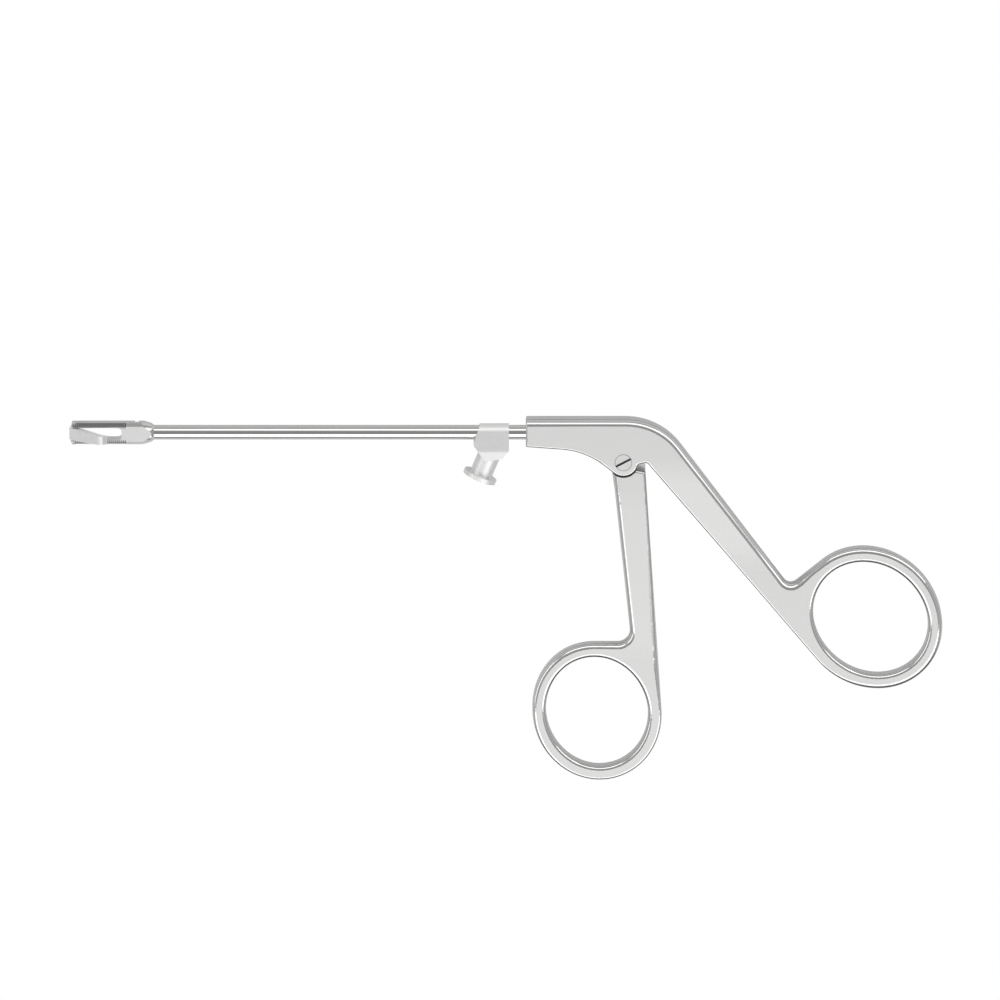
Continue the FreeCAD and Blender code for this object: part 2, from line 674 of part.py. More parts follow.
def lever_drive_pin():
    part = cylinder("lever_drive_pin", "sizes.drive_radius", "2 * sizes.drive_half")
    part.Label = "lever_drive_pin"
    return place(part, str(drive_x), str(drive_y), "sizes.body_thick / 2 - sizes.drive_half")


def along_shaft(item, x):
    """Sets a piece that was made along the shaft's axis at its place ahead of the pivot."""
    return place(item, x, "sizes.tube_rise")


def hollow_rod(name, radius, hole, length, start):
    """A tube along the shaft, from its front end at start."""
    outside = cylinder(name + "_outside", radius, length, "X")
    inside = cylinder(name + "_inside", hole, length, "X")
    return along_shaft(cut(name, outside, inside), start)


def outer_tube():
    outside = cylinder("tube_outside", "sizes.tube_radius",
                       "sizes.tube_front - sizes.tube_back", "X")
    inside = cylinder("tube_inside", "sizes.tube_bore", "sizes.tube_front - sizes.tube_back", "X")
    duct = cylinder("tube_duct", "sizes.duct_radius", "sizes.tube_radius + 1")
    duct.Placement = FreeCAD.Placement(V(0, 0, 0), port_turn())
    bind(duct, "Placement.Base.x", "sizes.tube_front - sizes.port_foot")
    return along_shaft(cut("outer_tube", outside, inside, duct), "-sizes.tube_front")


def port_turn():
    """Turns the Z direction into the port's direction, down and forwards."""
    down = V(-sin(size("port_lean")), -cos(size("port_lean")), 0)
    return FreeCAD.Rotation(V(0, 0, 1), down)


def push_rod():
    """Rod from the clevis to the slide, with a thin end set off its axis."""
    thick = cylinder("rod_thick", "sizes.rod_radius",
                     f"sizes.rod_front + {drive_x} - sizes.clevis_slit", "X")
    thin_length = ("sizes.notch_back + sizes.notch_gap + sizes.stub_depth"
                   " - sizes.rod_front + 0.5")
    thin = cylinder("rod_thin", "sizes.stub_radius", thin_length, "X")
    bind(thin, "Placement.Base.x", "0.5 - (" + thin_length + ")")
    bind(thin, "Placement.Base.z", "-sizes.stub_drop")
    whole = fuse("rod_whole", thick, thin)
    clevis_hole = cylinder("rod_clevis_hole", "sizes.cross_radius + sizes.seat_play",
                           "4 * sizes.rod_radius", "Y")
    middle_x = "(sizes.clevis_ahead + sizes.clevis_slit) / 2"
    bind(clevis_hole, "Placement.Base.x", f"sizes.rod_front + {drive_x} - {middle_x}")
    bind(clevis_hole, "Placement.Base.y", "-2 * sizes.rod_radius")
    slide_hole = cylinder("rod_slide_hole", "sizes.slide_pin_radius + sizes.seat_play",
                          "4 * sizes.rod_radius")
    bind(slide_hole, "Placement.Base.x", "sizes.rod_front - sizes.notch_back"
         " - sizes.notch_gap - sizes.slide_pin_set")
    bind(slide_hole, "Placement.Base.z", "-2 * sizes.rod_radius")
    return along_shaft(cut("push_rod", whole, clevis_hole, slide_hole), "-sizes.rod_front")


def rod_clevis():
    """Round clevis that straddles the tongue, with an upright slot for the drive pin."""
    part = new_body("rod_clevis")
    ahead, behind = size("clevis_ahead"), size("clevis_behind")
    drawing = sketch(part, "clevis_round", "YZ_Plane", circle(0, 0, size("clevis_radius")),
                     "-sizes.clevis_ahead")
    pad(part, drawing, "sizes.clevis_ahead + sizes.clevis_behind", both=False)
    reach = size("clevis_radius") + 1
    slit = trail([(-size("clevis_slit"), -reach, 0), (behind + 1, -reach, 0),
                  (behind + 1, reach, 0), (-size("clevis_slit"), reach, 0)], closed=True)
    pocket(part, sketch(part, "clevis_slit_cut", "XY_Plane", slit),
           "sizes.tongue_thick + 2 * sizes.turn_play")
    radius = size("drive_radius") + size("drive_play")
    rise = drive_y - size("tube_rise")
    high = rise + size("drive_climb") / 2
    low = rise - size("drive_climb")
    groove = trail([(-radius, low - radius, radius), (radius, low - radius, radius),
                    (radius, high + radius, radius),
                    (-radius, high + radius, radius)], closed=True)
    pocket(part, sketch(part, "clevis_groove", "XY_Plane", groove))
    rod_hole = sketch(part, "clevis_rod_hole", "YZ_Plane",
                      circle(0, 0, size("rod_radius") + size("seat_play")),
                      "-sizes.clevis_ahead - 0.01")
    pocket(part, rod_hole, "sizes.clevis_ahead - sizes.clevis_slit + 0.5", both=False, flip=True)
    pin_hole = sketch(part, "clevis_pin_hole", "XZ_Plane",
                      circle(-(ahead + size("clevis_slit")) / 2, 0,
                             size("cross_radius") + size("seat_play")))
    pocket(part, pin_hole)
    return along_shaft(part, str(drive_x))


def clevis_pin():
    """Cross pin that holds the rod in the clevis, ground flush."""
    pin = cylinder("clevis_pin", "sizes.cross_radius",
                   "2 * sqrt(sizes.clevis_radius ^ 2 - sizes.cross_radius ^ 2)", "Y")
    pin.Label = "clevis_pin"
    half = "sqrt(sizes.clevis_radius ^ 2 - sizes.cross_radius ^ 2)"
    return place(pin, f"{drive_x} - (sizes.clevis_ahead + sizes.clevis_slit) / 2",
                 "sizes.tube_rise - " + half)


def head_section(low, belly):
    """Cross-section of the head as (y, z): toothed bevels above, wide bevels below."""
    half, top = size("head_half"), size("head_top")
    return trail([
        (-half, -size("head_side_low"), 0), (-half + belly, -low, 0), (half - belly, -low, 0),
        (half, -size("head_side_low"), 0), (half, size("head_side_high"), 0),
        (half - size("head_bevel"), top, 0), (size("head_bevel") - half, top, 0),
        (-half, size("head_side_high"), 0)], closed=True)


def window_outline(front):
    """The window, open at the front, with round corners at its rear end."""
    half, back = size("window_half"), -size("window_back")
    corner = size("window_round")
    return trail([(front, -half, 0), (back, -half, corner), (back, half, corner),
                  (front, half, 0)], closed=True)


def nose_corners(front):
    """What is cut off to round the two corners of the head's front end."""
    half, radius = size("head_half"), size("nose_round")
    pieces = []
    for side in (1, -1):
        first = V(front, side * (half - radius), 0)
        last = V(front + radius, side * half, 0)
        centre = V(last.x, first.y, 0)
        halfway = centre + V(-1, side, 0).normalize() * radius
        pieces.append(Part.Arc(first, halfway, last))
        pieces += trail([(last.x, last.y, 0), (last.x, side * (half + 1), 0),
                         (front - 1, side * (half + 1), 0), (front - 1, first.y, 0),
                         (first.x, first.y, 0)])
    return pieces


def jaw_frame():
    """Head of the shaft: two toothed rails round the window, and the cone to the tube."""
    part = new_body("jaw_frame")
    front, notch = -size("head_front"), -size("notch_back")
    drawing = sketch(part, "head_profile", "YZ_Plane",
                     head_section(size("head_floor"), size("head_belly")), "-sizes.head_front")
    pad(part, drawing, "sizes.head_front - sizes.tube_front", both=False)
    # the cone narrows the head to the tube
    flare, tip, tube = -size("head_flare"), -size("head_tip"), -size("tube_front")
    wide = size("head_floor") + 2
    cone = trail([(flare, size("flare_radius"), 0), (tip, size("head_top"), 0), (tube, size("tube_radius"), 0),
                  (tube + 1, size("tube_radius"), 0), (tube + 1, wide, 0),
                  (flare - 3, wide, 0)], closed=True)
    drawing = sketch(part, "head_cone", "XY_Plane", cone)
    turned = part.newObject("PartDesign::Groove", "head_cone_cut")
    turned.Profile = drawing
    turned.ReferenceAxis = (drawing, ["H_Axis"])
    turned.Angle = 360
    doc.recompute()
    back = trail([(notch - 0.5, -size("head_floor"), 0), (notch, -size("head_floor"), 0),
                  (tube + 0.01, -size("tube_radius"), 0), (tube + 0.01, -5, 0),
                  (notch - 0.5, -5, 0)], closed=True)
    pocket(part, sketch(part, "head_back", "XZ_Plane", back))
    # space for the slide, with a shallow relief at the front
    relief = front + size("relief_length")
    space = trail([(front - 1, size("relief_depth"), 0), (relief, size("relief_depth"), 0),
                   (relief, 0, 0), (notch, 0, 0), (notch, -5, 0), (front - 1, -5, 0)], closed=True)
    pocket(part, sketch(part, "slide_space", "XZ_Plane", space))
    pocket(part, sketch(part, "head_window", "XY_Plane", window_outline(front - 1)))
    # slanted front ends of the rails
    high, long = size("head_top") - size("slant_high"), front + size("slant_long")
    slant = trail([(front - 1, high, 0), (front, high, 0), (long, size("relief_depth"), 0),
                   (long, -1, 0), (front - 1, -1, 0)], closed=True)
    pocket(part, sketch(part, "rail_slant", "XZ_Plane", slant))
    pocket(part, sketch(part, "rail_noses", "XY_Plane", nose_corners(front)))
    # tooth grooves across both bevels
    grooves = []
    width, depth = size("tooth_width"), size("tooth_depth")
    bevel_y = size("head_half") - size("head_bevel") / 2
    bevel_z = (size("head_side_high") + size("head_top")) / 2
    lift = (bevel_y + bevel_z) / math.sqrt(2)
    for number in range(int(size("tooth_count"))):
        x = front + size("tooth_start") + number * size("tooth_pitch")
        grooves += trail([(x, lift, 0), (x + width / 2, lift - depth, 0), (x + width, lift, 0),
                          (x + width, lift + 1, 0), (x, lift + 1, 0)], closed=True)
    for name, tilt in (("left_teeth", 45), ("right_teeth", -45)):
        pocket(part, sketch(part, name, "XZ_Plane", grooves, tilt=tilt), "sizes.head_top * 4")
    # holes for the hinge pin and the rod
    pocket(part, sketch(part, "hinge_hole", "XZ_Plane",
                        circle(-size("hinge_x"), size("hinge_rise"),
                               size("hinge_radius") + size("seat_play"))))
    pocket(part, sketch(part, "rod_hole", "YZ_Plane", circle(0, 0, size("tube_bore")),
                        "-sizes.notch_back + sizes.notch_wall"), both=False, flip=True)
    pocket(part, sketch(part, "stub_hole", "YZ_Plane",
                        circle(0, -size("stub_drop"), size("stub_radius") + size("rod_play")),
                        "-sizes.notch_back - 0.1"), "1", both=False, flip=True)
    return along_shaft(part, "0")


def jaw_hinge_pin():
    pin = cylinder("jaw_hinge_pin", "sizes.hinge_radius", "2 * sizes.head_half", "Y")
    pin.Label = "jaw_hinge_pin"
    return place(pin, "-sizes.hinge_x", "sizes.tube_rise - sizes.head_half",
                 "sizes.body_thick / 2 + sizes.hinge_rise")


def jaw_slide():
    """Slide behind the head: a fork round the jaw's lug, pulled and pushed by the rod."""
    part = new_body("jaw_slide")
    front = -size("slide_front")
    back = -size("notch_back") - size("notch_gap")
    drawing = sketch(part, "slide_section", "YZ_Plane",
                     head_section(size("head_floor"), size("head_belly")), "-sizes.slide_front")
    pad(part, drawing, "sizes.slide_front - sizes.notch_back - sizes.notch_gap", both=False)
    split = -size("split_gap")
    floor, step = -size("slide_floor"), -size("slide_step")
    nose, bevel = size("slide_nose"), size("slide_bevel")
    slope = size("slide_ramp") / (size("head_floor") - size("slide_floor"))
    keep = trail([(front, split - bevel, 0), (front, floor, nose), (step, floor, 0),
                  (step + slope * (4 + floor), -4, 0),
                  (back + 1, -4, 0), (back + 1, split, 0), (front + bevel, split, 0)], closed=True)
    frame = trail([(front - 1, -6, 0), (back + 2, -6, 0), (back + 2, 5, 0),
                   (front - 1, 5, 0)], closed=True)
    pocket(part, sketch(part, "slide_side", "XZ_Plane", keep + frame))
    pocket(part, sketch(part, "slide_window", "XY_Plane", window_outline(front - 1)))
    # blind upright slot for the jaw's drive pin
    radius = size("jaw_pin_radius") + size("drive_play")
    centre_x = -size("hinge_x") + crank_travel * math.radians(jaw_offset)
    half_swing = (size("jaw_open") + size("jaw_more")) / 2
    low = size("hinge_rise") - size("jaw_crank") - radius
    high = size("hinge_rise") - size("jaw_crank") * cos(half_swing) + radius
    slot = trail([(centre_x - radius, low, radius), (centre_x + radius, low, radius),
                  (centre_x + radius, high, radius),
                  (centre_x - radius, high, radius)], closed=True)
    pocket(part, sketch(part, "slide_slot", "XZ_Plane", slot),
           "2 * sizes.jaw_pin_half + 2 * sizes.turn_play")
    # seat of the rod's thin end, and its cross pin
    stub = sketch(part, "slide_stub", "YZ_Plane",
                  circle(0, -size("stub_drop"), size("stub_radius") + size("seat_play")),
                  "-sizes.notch_back - sizes.notch_gap - sizes.stub_depth")
    pocket(part, stub, "sizes.stub_depth + 1", both=False, flip=True)
    pocket(part, sketch(part, "slide_pin_hole", "XY_Plane",
                        circle(back - size("slide_pin_set"), 0,
                               size("slide_pin_radius") + size("seat_play"))))
    return along_shaft(part, "0")


def slide_pin():
    """Cross pin that holds the rod in the slide, ground flush on its back."""
    pin = cylinder("slide_pin", "sizes.slide_pin_radius",
                   "sizes.head_floor - sizes.split_gap")
    pin.Label = "slide_pin"
    return place(pin, "-sizes.notch_back - sizes.notch_gap - sizes.slide_pin_set",
                 "sizes.tube_rise", "sizes.body_thick / 2 - sizes.head_floor")


def cutting_jaw():
    """Jaw with a curved lip at its free end and a lug for its drive pin."""
    part = new_body("cutting_jaw")
    # outline as (x, z) from the hinge, with the jaw closed along the shaft
    back, inner = size("jaw_back"), size("jaw_back") - size("jaw_thick")
    thin = size("jaw_back") - size("jaw_thin")
    end, lip = size("jaw_length"), size("lip_length")
    root = size("lug_radius") * 2
    side = trail([
        (0, back, 0), (end - 0.25, back, 0.9), (end, thin - size("lip_rise"), 0.12),
        (end - lip * 0.35, thin - size("lip_rise") * 0.8, 0.3),
        (end - lip, thin, 1.2), (root, inner, 0), (0, inner, 0)], closed=True)
    pad(part, sketch(part, "jaw_side", "XZ_Plane", side), "2 * sizes.jaw_half")
    half, tip, narrow = size("jaw_half"), size("jaw_tip_half"), size("jaw_narrow")
    beside = []
    for turn in (1, -1):
        beside += trail([(narrow, turn * half, 0), (end, turn * tip, 0),
                         (end + 1, turn * tip, 0), (end + 1, turn * (half + 1), 0),
                         (narrow, turn * (half + 1), 0)], closed=True)
    pocket(part, sketch(part, "jaw_sides", "XY_Plane", beside))
    base = sketch(part, "jaw_base", "XZ_Plane", circle(0, 0, size("jaw_back")))
    pad(part, base, "2 * sizes.jaw_half")
    # the lug is the hull of the round base and a smaller round at the drive pin
    closed_turn = jaw_offset - size("jaw_open")
    pin = V(size("jaw_crank") * sin(closed_turn), -size("jaw_crank") * cos(closed_turn), 0)
    reach = pin.Length
    angle = math.degrees(math.atan2(pin.y, pin.x))
    spread = math.degrees(math.acos((size("jaw_back") - size("lug_radius")) / reach))
    hull = []
    for turn, sign in ((angle + spread, 1), (angle - spread, -1)):
        toward = V(cos(turn), sin(turn), 0)
        hull.append((toward * size("jaw_back"), pin + toward * size("lug_radius")))
    far = pin + V(cos(angle), sin(angle), 0) * size("lug_radius")
    near = V(0, 0, 0) - V(cos(angle), sin(angle), 0) * size("jaw_back")
    lug = [Part.LineSegment(*hull[0]), Part.Arc(hull[0][1], far, hull[1][1]),
           Part.LineSegment(hull[1][1], hull[1][0]), Part.Arc(hull[1][0], near, hull[0][0])]
    pad(part, sketch(part, "jaw_lug", "XZ_Plane", lug), "2 * sizes.jaw_half")
    pocket(part, sketch(part, "jaw_hinge_hole", "XZ_Plane",
                        circle(0, 0, size("hinge_radius") + size("turn_play"))))
    pocket(part, sketch(part, "jaw_pin_hole", "XZ_Plane",
                        circle(pin.x, pin.y, size("jaw_pin_radius") + size("seat_play"))))
    part.Placement = FreeCAD.Placement(V(0, 0, 0), FreeCAD.Rotation(V(0, -1, 0), 30))
    bind(part, "Placement.Rotation.Angle", "sizes.jaw_open")
    return place(part, "-sizes.hinge_x", "sizes.tube_rise",
                 "sizes.body_thick / 2 + sizes.hinge_rise")


def jaw_drive_pin():
    pin = cylinder("jaw_drive_pin", "sizes.jaw_pin_radius", "2 * sizes.jaw_pin_half", "Y")
    pin.Label = "jaw_drive_pin"
    return place(pin, f"-sizes.hinge_x + {crank_x}", "sizes.tube_rise - sizes.jaw_pin_half",
                 f"sizes.body_thick / 2 + sizes.hinge_rise + {crank_z}")


def along_port(item, start):
    """Sets a round piece on the port's axis, from start outwards, seen from the tube's axis."""
    direction = V(-sin(size("port_lean")), -cos(size("port_lean")), 0)
    item.Placement = FreeCAD.Placement(V(0, 0, 0), port_turn())
    bind(item, "Placement.Base.x", f"-sizes.port_foot + {direction.x} * ({start})")
    bind(item, "Placement.Base.y", f"{direction.y} * ({start})")
    return item


def port_piece(name, radius, start, length):
    """A cylinder along the port's axis, from start outwards."""
    return along_port(cylinder(name, radius, length), start)


def flat_solid(name, geometry, length, along_x=False):
    """An outline given thickness along Z, or drawn in the YZ plane and given length along X."""
    drawing = doc.addObject("Sketcher::SketchObject", name + "_outline")
    if along_x:
        drawing.Placement = FreeCAD.Placement(V(0, 0, 0), FreeCAD.Rotation(V(1, 1, 1), 120))
    drawing.addGeometry(geometry, False)
    doc.recompute()
    solid = doc.addObject("Part::Extrusion", name)
    solid.Base = drawing
    solid.DirMode = "Normal"
    solid.Solid = True
    bind(solid, "LengthFwd", length)
    return solid


def port_collar():
    """Saddle on the tube that carries the port: a keel under a band, trimmed to a shield."""
    length = "sizes.collar_ahead + sizes.collar_behind + 2"
    band = cylinder("collar_band", "sizes.collar_radius", length, "X")
    # the keel's outline as (y, z) from the tube's axis, tangent to the band
    radius, half = size("collar_radius"), size("keel_half")
    shoulder = -size("keel_shoulder")
    reach = math.hypot(shoulder, half)
    touch = math.atan2(half, shoulder) - math.acos(radius / reach)
    touch_y, touch_z = radius * math.cos(touch), radius * math.sin(touch)
    curve = size("keel_curve")
    keel = flat_solid("collar_keel", trail([
        (touch_y, touch_z, 0), (shoulder, half, curve), (-BEYOND, half, 0),
        (-BEYOND, -half, 0), (shoulder, -half, curve), (touch_y, -touch_z, 0)], closed=True),
        length, along_x=True)
    for item in (band, keel):
        bind(item, "Placement.Base.x", "-sizes.port_foot - sizes.collar_ahead - 2")
    solid = fuse("collar_solid", band, keel)
    # the shield's outline as (x, y) from the tube's axis
    front, rear = collar_front, collar_back
    shield = [(front, 2.5), (front - 1.75, -2.6), (front - 0.4, -4.4), (front + 1.0, -6.5),
              (rear - 1.6, -5.9), (rear, -3.9), (rear, 2.5)]
    prism = flat_solid("collar_prism", trail([(x, y, 0.55 if y < 0 else 0) for x, y in shield],
                                             closed=True), "4 * sizes.keel_half")
    prism.Symmetric = True
    trimmed = doc.addObject("Part::Common", "collar_trimmed")
    trimmed.Base = solid
    trimmed.Tool = prism
    hole = cylinder("collar_hole", "sizes.tube_radius + sizes.seat_play", f"2 * {BEYOND}", "X")
    bind(hole, "Placement.Base.x", f"-sizes.port_foot - {BEYOND}")
    socket = port_piece("collar_socket", "sizes.port_radius + sizes.seat_play",
                        f"{port_start}", f"{BEYOND}")
    duct = port_piece("collar_duct", "sizes.duct_radius", "0", f"{BEYOND}")
    return place(cut("port_collar", trimmed, hole, socket, duct), "0", "sizes.tube_rise")


def port_tube():
    outside = port_piece("port_outside", "sizes.port_radius", f"{port_start}",
                         f"sizes.port_end - {port_start}")
    inside = port_piece("port_inside", "sizes.socket_radius + sizes.seat_play",
                        f"{port_start} - 1", f"sizes.port_end - {port_start} + 2")
    return place(cut("port_tube", outside, inside), "0", "sizes.tube_rise")


def port_mouthpiece():
    """Flange and sleeve with the tapered bore that a syringe's cone fits."""
    flange = port_piece("mouth_flange", "sizes.flange_radius", "sizes.port_end",
                        "sizes.flange_thick")
    sleeve = port_piece("mouth_sleeve", "sizes.socket_radius",
                        "sizes.port_end - sizes.socket_length", "sizes.socket_length")
    solid = fuse("mouth_solid", flange, sleeve)
    throat = port_piece("mouth_throat", "sizes.throat_radius",
                        "sizes.port_end - sizes.socket_length", "sizes.socket_length")
    taper = doc.addObject("Part::Cone", "mouth_taper")
    bind(taper, "Radius1", "sizes.throat_radius")
    bind(taper, "Radius2", "sizes.mouth_radius")
    bind(taper, "Height", "sizes.socket_length + sizes.flange_thick - sizes.throat_length")
    start = "sizes.port_end - sizes.socket_length + sizes.throat_length"
    along_port(taper, start)
    return place(cut("port_mouthpiece", solid, throat, taper), "0", "sizes.tube_rise")


seat_radius = "sizes.bore_radius - sizes.seat_play"
parts = [
    fixed_handle(),
    finger_lever(),
    pivot_screw(),
    lever_drive_pin(),
    outer_tube(),
    hollow_rod("tube_sleeve", seat_radius, "sizes.tube_radius + sizes.seat_play",
               "sizes.body_front - sizes.sleeve_back", "-sizes.body_front"),
    hollow_rod("rod_bush", seat_radius, "sizes.rod_radius + sizes.rod_play",
               "sizes.bush_length", "-sizes.sleeve_back + sizes.seal_space"),
    hollow_rod("rod_seal", seat_radius, "sizes.rod_radius + sizes.rod_play",
               "sizes.seal_space - 2 * sizes.seat_play", "-sizes.sleeve_back + sizes.seat_play"),
    push_rod(),
    rod_clevis(),
    clevis_pin(),
    jaw_frame(),
    jaw_hinge_pin(),
    jaw_slide(),
    slide_pin(),
    cutting_jaw(),
    jaw_drive_pin(),
    port_collar(),
    port_tube(),
    port_mouthpiece(),
]
doc.recompute()

for item in doc.Objects:
    if "Invalid" in item.State or "Error" in item.State:
        raise RuntimeError(f"{item.Name} failed: {item.State}")
for part in parts:
    if part.Shape.isNull() or not part.Shape.isValid():
        raise RuntimeError(part.Label + " has no sound shape")
    if len(part.Shape.Solids) != 1:
        raise RuntimeError(f"{part.Label} has {len(part.Shape.Solids)} solids")

os.makedirs("parts", exist_ok=True)
for part in parts:
    part.Shape.exportStep(f"parts/{part.Label}.step")
    print(f"{part.Label:18} {part.Shape.Volume:9.3f} mm3")
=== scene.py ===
import json
import math

import bpy
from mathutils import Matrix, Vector


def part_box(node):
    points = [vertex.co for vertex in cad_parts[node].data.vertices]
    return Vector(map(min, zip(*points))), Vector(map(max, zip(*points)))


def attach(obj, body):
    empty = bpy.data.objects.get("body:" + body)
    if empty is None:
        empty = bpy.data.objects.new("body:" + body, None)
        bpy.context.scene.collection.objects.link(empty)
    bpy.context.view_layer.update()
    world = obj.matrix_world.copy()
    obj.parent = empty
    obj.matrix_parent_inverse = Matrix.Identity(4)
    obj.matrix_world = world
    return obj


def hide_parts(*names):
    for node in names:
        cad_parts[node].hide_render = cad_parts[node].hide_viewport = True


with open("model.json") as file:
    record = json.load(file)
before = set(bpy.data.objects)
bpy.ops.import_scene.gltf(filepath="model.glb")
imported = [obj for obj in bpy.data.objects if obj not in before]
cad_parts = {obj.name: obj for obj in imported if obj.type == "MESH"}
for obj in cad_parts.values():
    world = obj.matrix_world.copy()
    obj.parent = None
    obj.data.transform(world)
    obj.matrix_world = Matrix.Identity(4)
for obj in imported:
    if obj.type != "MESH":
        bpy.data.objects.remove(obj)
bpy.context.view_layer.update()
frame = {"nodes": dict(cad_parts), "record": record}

# An antrum punch lying on its flat side on a white table, seen from above.
# X runs along the shaft to the handles, Y up in the photograph, Z up from the table.

MM = 0.001
MID_HEIGHT = (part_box("fixed_handle")[0].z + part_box("fixed_handle")[1].z) / 2

# Camera
TILT = math.radians(14)             # it leans this far from straight above, towards +Y
PHOTO_WIDTH = 240 * MM              # what the photograph's width shows at the object
PHOTO_SIZE = 1000                   # pixels across the photograph
PIVOT_PIXEL = (623.1, 459.6)        # the lever's pivot, half way through the handle
CAMERA_REACH = 2.2                  # from the camera to the object
SENSOR_WIDTH = 36                   # millimetres, as the focal length

# Table and light
FLOOR = min(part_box(node)[0].z for node in frame["nodes"])
FLOOR_SIZE = 6
FLOOR_LEVEL = 0.62
GLOW_SEEN = 1.0                     # how much of the table's white is even, as the camera sees it
GLOW_MIRRORED = 0.25                # and as the steel mirrors it
LAMP_REACH = 1.6
SOFTBOXES = (                       # name, azimuth, degrees from overhead, width, height, radiance
    ("softbox_front", -90, 40, 2.2, 1.25, 1.5),
    ("softbox_back", 90, 53, 2.2, 0.75, 1.1),
    ("softbox_left", 170, 56, 1.2, 0.8, 0.8),
    ("softbox_right", 37, 62, 0.9, 0.8, 1.2),
)
ROOM_TONES = ((0.0, 0.35), (0.15, 0.35), (0.45, 0.6), (0.85, 0.45), (0.97, 0.33))

# Finishes. The painted shade on an edge is given as stops (how flat it lies, share of its colour
# that the painted shade keeps)
EVERY_WAY = (1, 1, 1)               # grain without a direction
ALONG_SHAFT = (0.04, 1, 1)          # lines that run along X
AROUND_SHAFT = (1, 0.05, 0.05)      # lines that run round the shaft
ACROSS_JAW = (1, 0.08, 1)
SATIN_GRAIN = (EVERY_WAY, 2600, 6)  # stretch, scale and detail
SATIN_CONTRAST = 0.015
SATIN_RELIEF = (0.04, 0.01 * MM)    # strength and depth
LINE_CONTRAST = 0.02
LINE_DEPTH = 0.02 * MM
FLAT_FACES = (0.9900, 0.9985)       # size of the normal's Z, from polished edge to satin face
LOWER_SIDES = (-0.4, -0.1)          # the normal's Y, from a lower edge to any other; picks which painted edge shade applies
# Stops of painted shade along polished edges: where an upper edge turns into the side, and over
# the lower edges
UPPER_EDGE_SHADE = ((0.03, 1.0), (0.10, 0.36), (0.20, 0.36), (0.34, 1.0))
LOWER_EDGE_SHADE = ((0.03, 0.7), (0.12, 0.2), (0.96, 0.25), (0.998, 1.0))
CREVICE_SAMPLES = 8
OPEN_SHARE = (0.35, 0.8)            # of the sky that a groove sees, from dark to open
TOOTH_GROOVE_SHADE = (0.12 * MM, 0.5)    # width that counts as a groove, and the share of colour that the painted shade leaves in it
# painted shade in the pivot screw's slot: width that counts as the slot, and the share of colour
# left in it
SCREW_SLOT_SHADE = (0.8 * MM, 0.12)
HEAD_RADIUS = 2.05 * MM             # head of the pivot screw
# painted shade round the rim of the screw head: it grows between these distances from the axis and
# keeps the share below of the colour outside them
HEAD_SEAM_SHADE = (HEAD_RADIUS - 0.16 * MM, HEAD_RADIUS - 0.05 * MM)
SEAM_SHADE_SHARE = 0.3
MIX_SOCKETS = {"FLOAT": (0, 2, 3, 0), "RGBA": (0, 6, 7, 2)}     # factor, both values, result

# The rear arm's edges, in millimetres from the pivot
MIDDLE = MID_HEIGHT / MM
ARM_OUTER = ((8.74, 10.3), (40.03, -31.23))     # two points of its outer edge
ARM_INNER = ((5.65, -0.05), (47.006, -49.356))  # and of its inner edge
OUTER_SPAN = (7.9, 48.0)            # stretch of the outer edge that gets an even round
INNER_SPAN = (2.5, 64.3)
BEND_CENTRE = (0.51, -6.2)          # of the outer edge's curve behind the pivot
BEND_RADIUS = 16.5
BEND_TURNS = (36.5, 91)             # degrees from X, where the curve ends and starts
OUTER_ROUND = 1.5
INNER_ROUND = 0.45
ROUND_LIMITS = (0.05, 1.6)          # radii that count as a rounded edge
TAPER = ((-2.0, 3.25), (-23.98, 2.3))           # where it starts and ends: height, half thickness
TAPER_BLEND = 150.0
SLOPE_STEP = 0.1


# Materials

def shader(name, metallic, roughness, color):
    """A new material and its shader, with the values that are the same all over it."""
    material = bpy.data.materials.new(name)
    material.use_nodes = True
    surface = material.node_tree.nodes["Principled BSDF"]
    surface.inputs["Metallic"].default_value = metallic
    surface.inputs["Roughness"].default_value = roughness
    surface.inputs["Base Color"].default_value = (*color, 1)
    return material, surface


def add(material, kind, **values):
    """A new node in a material or in the world."""
    node = material.node_tree.nodes.new(kind)
    for key, value in values.items():
        setattr(node, key, value)
    return node


def link(material, output, target):
    material.node_tree.links.new(output, target)


def stretched_noise(material, stretch, scale, detail=4):
    """Noise drawn out along an axis, as a grinding belt or a lathe leaves it."""
    place = add(material, "ShaderNodeTexCoord")
    mapping = add(material, "ShaderNodeMapping")
    mapping.inputs["Scale"].default_value = stretch
    noise = add(material, "ShaderNodeTexNoise")
    noise.inputs["Scale"].default_value = scale
    noise.inputs["Detail"].default_value = detail
    link(material, place.outputs["Object"], mapping.inputs["Vector"])
    link(material, mapping.outputs["Vector"], noise.inputs["Vector"])
    return noise.outputs["Fac"]


def spread(material, value, low, high, start=0.3, end=0.7):
    """A value from start to end, spread from low to high."""
    scale = add(material, "ShaderNodeMapRange")
    scale.inputs["From Min"].default_value = start
    scale.inputs["From Max"].default_value = end
    scale.inputs["To Min"].default_value = low
    scale.inputs["To Max"].default_value = high
    link(material, value, scale.inputs["Value"])
    return scale.outputs["Result"]


def blend(material, kind, share, first, second):
    """Goes from the first value to the second as the share goes from 0 to 1."""
    factor, one, other, result = MIX_SOCKETS[kind]
    mix = add(material, "ShaderNodeMix", data_type=kind)
    link(material, share, mix.inputs[factor])
    link(material, first, mix.inputs[one])
    link(material, second, mix.inputs[other])
    return mix.outputs[result]


def tint(material, value, level, contrast):
    """A steel grey that varies about a level."""
    item = add(material, "ShaderNodeValToRGB")
    item.color_ramp.elements[0].position = 0.25
    item.color_ramp.elements[0].color = (*grey(level - contrast), 1)
    item.color_ramp.elements[1].position = 0.75
    item.color_ramp.elements[1].color = (*grey(level + contrast), 1)
    link(material, value, item.inputs["Fac"])
    return item.outputs["Color"]


